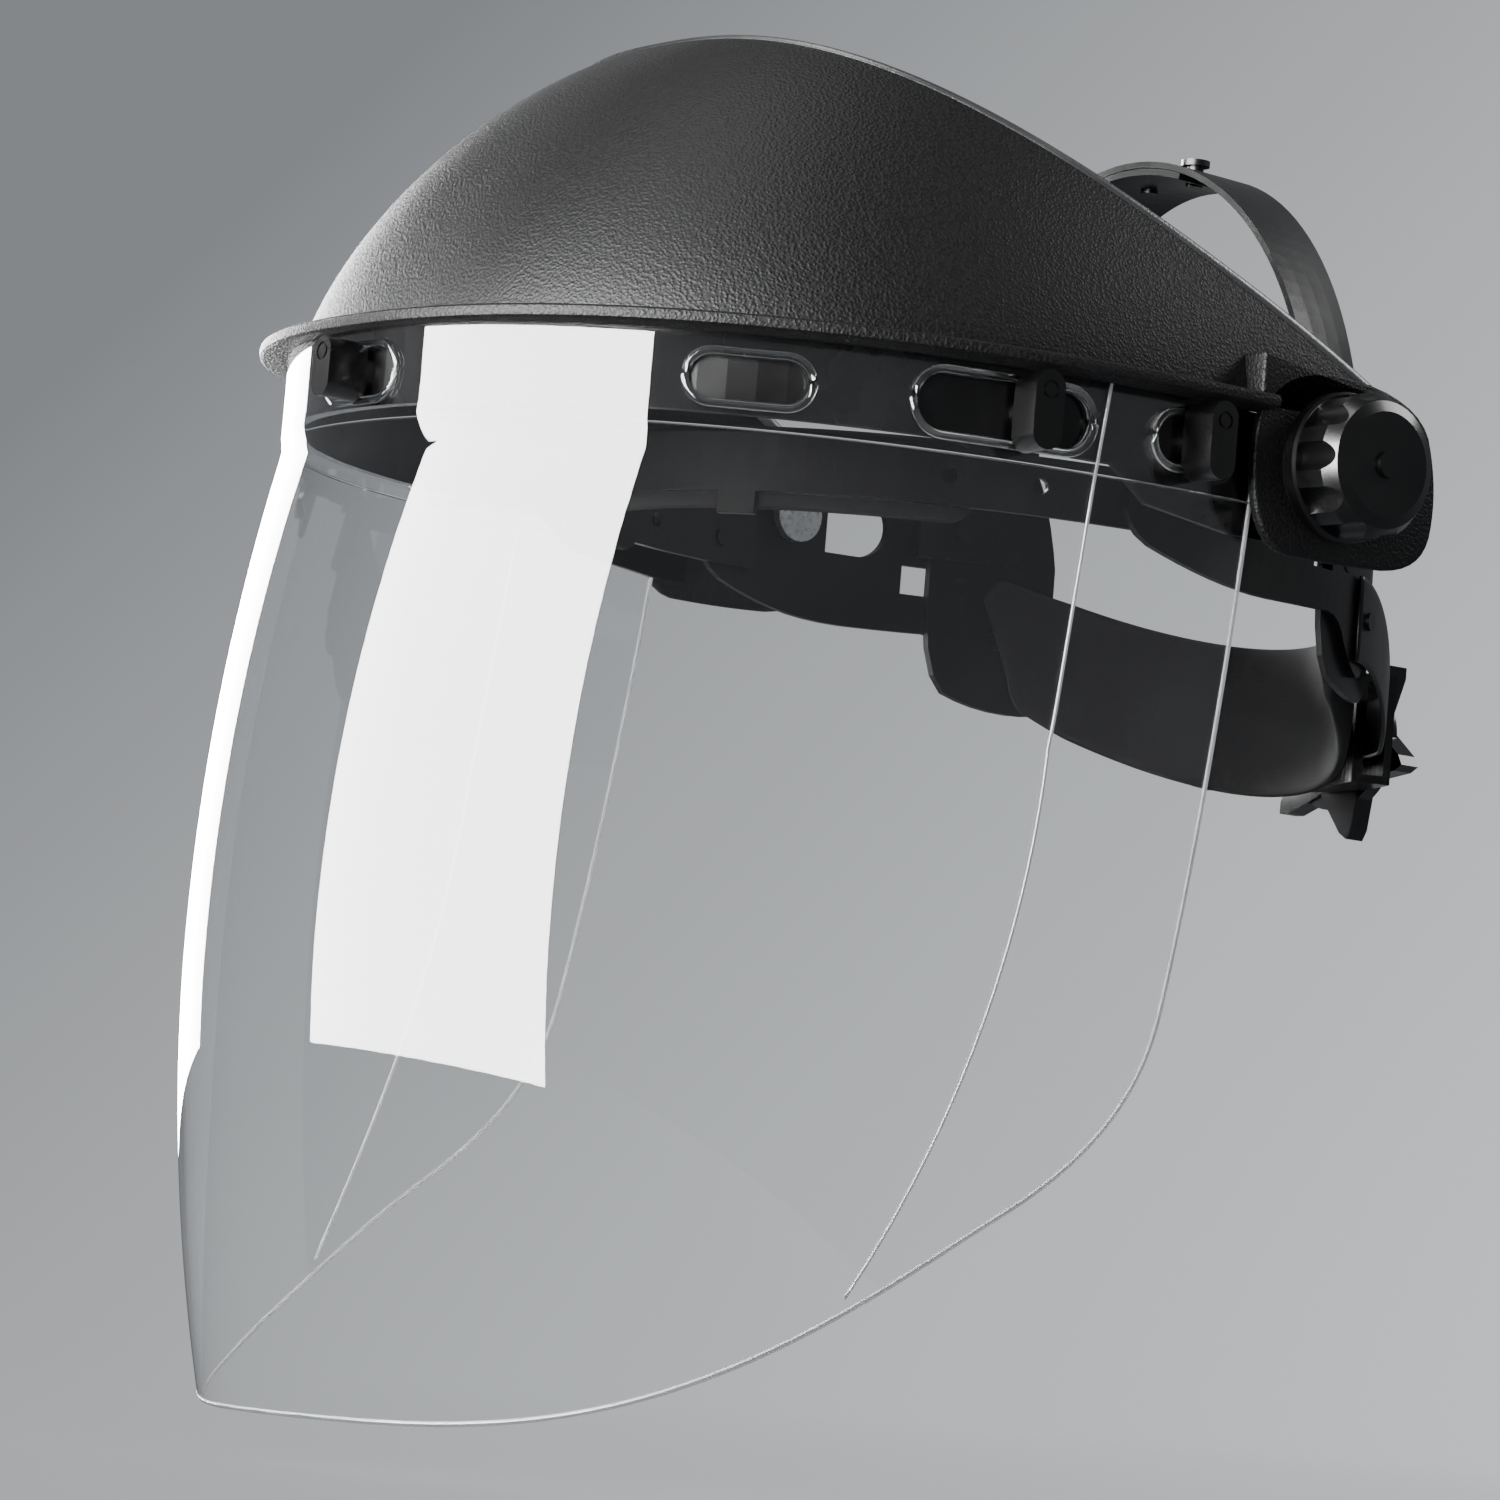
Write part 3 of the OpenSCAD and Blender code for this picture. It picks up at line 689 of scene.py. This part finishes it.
def studio():
    """Glowing curved backdrop with a painted light gradient, even world light and softboxes seen
    only in reflections.
    """
    low = cad_box[0][2] - FLOOR_GAP
    profile = [(-3.0, low)] + [(1.6 + 1.2 * math.sin(a), low + 1.2 - 1.2 * math.cos(a))
                               for a in (math.radians(6 * i) for i in range(16))] + [(2.8, 4.5)]
    turn = Matrix.Rotation(math.radians(VIEW_AZIMUTH), 4, "Z")
    verts = []
    for x in (-6, 6):
        verts += [(turn @ Vector((x, y, z))) / MM for y, z in profile]
    n = len(profile)
    faces = [(i, i + 1, i + 1 + n, i + n) for i in range(n - 1)]
    sweep = new_object("backdrop", verts, faces)
    m, t, b = material("backdrop", (0.02, 0.02, 0.021), 1.0, Emission_Strength=1.0,
                       Specular_IOR_Level=0.0)
    coord = node(t, "ShaderNodeTexCoord")
    # Backdrop emission runs from darker grey to pale grey across the view: painted light falloff
    # on a backdrop that glows instead of being lit.
    across = node(t, "ShaderNodeVectorMath", operation="DOT_PRODUCT")
    across.inputs[1].default_value = (0.415, 0.643, -0.643)
    t.links.new(coord.outputs["Object"], across.inputs[0])
    glow = node(t, "ShaderNodeMix", data_type="RGBA")
    glow.inputs["A"].default_value = (0.23, 0.24, 0.255, 1)
    glow.inputs["B"].default_value = (0.78, 0.815, 0.84, 1)
    t.links.new(remap(t, across.outputs["Value"], 0.0, 1.0, -0.5, 0.65), glow.inputs["Factor"])
    t.links.new(glow.outputs["Result"], b.inputs["Emission Color"])
    sweep.data.materials.append(m)
    sweep.visible_glossy = False
    world = bpy.data.worlds.new("studio")
    bpy.context.scene.world = world
    world.use_nodes = True
    world.node_tree.nodes["Background"].inputs["Color"].default_value = (0.62, 0.64, 0.67, 1)
    world.node_tree.nodes["Background"].inputs["Strength"].default_value = 0.32
    area_light("front_softbox", (0.1, -1.05, 0.16), (0.07, 0, 0.16), (1.32, 0.75), 280)
    area_light("side_softbox", (-1.05, 0.02, 0.12), (0, 0.02, 0.12), (0.62, 0.56), 60)
    area_light("top_softbox", (-0.1, -0.35, 1.3), (0, -0.1, 0), (0.9, 0.6), 12)
    area_light("rear_softbox", (0.5, 1.1, 0.9), (0, 0, 0.05), (0.8, 0.5), 14)


def camera():
    """Camera at the fitted place and turn, looking up at the shield from its front left."""
    cam = bpy.data.cameras.new("camera")
    cam.lens, cam.sensor_width = 149.3, 36
    cam.clip_start, cam.clip_end = 0.05, 50
    ob = bpy.data.objects.new("camera", cam)
    bpy.context.scene.collection.objects.link(ob)
    axes = Matrix(((0.6098, 0.0232, 0.7922), (0.7882, -0.1218, -0.6032),
                   (0.0825, 0.9923, -0.0925)))
    ob.rotation_mode = "QUATERNION"
    ob.rotation_quaternion = axes.to_quaternion()
    ob.location = (1.1068, -0.9093, -0.1964)
    bpy.context.scene.camera = ob


dress_cad_nodes()
crown()
window()
window_trim()
sweatband()
nape_pad()
nape_strap("nape_strap_upper", 1, 3.4, "nape_strap_left")
nape_strap("nape_strap_lower", -1, 5.0, "nape_strap_right")
studio()
camera()
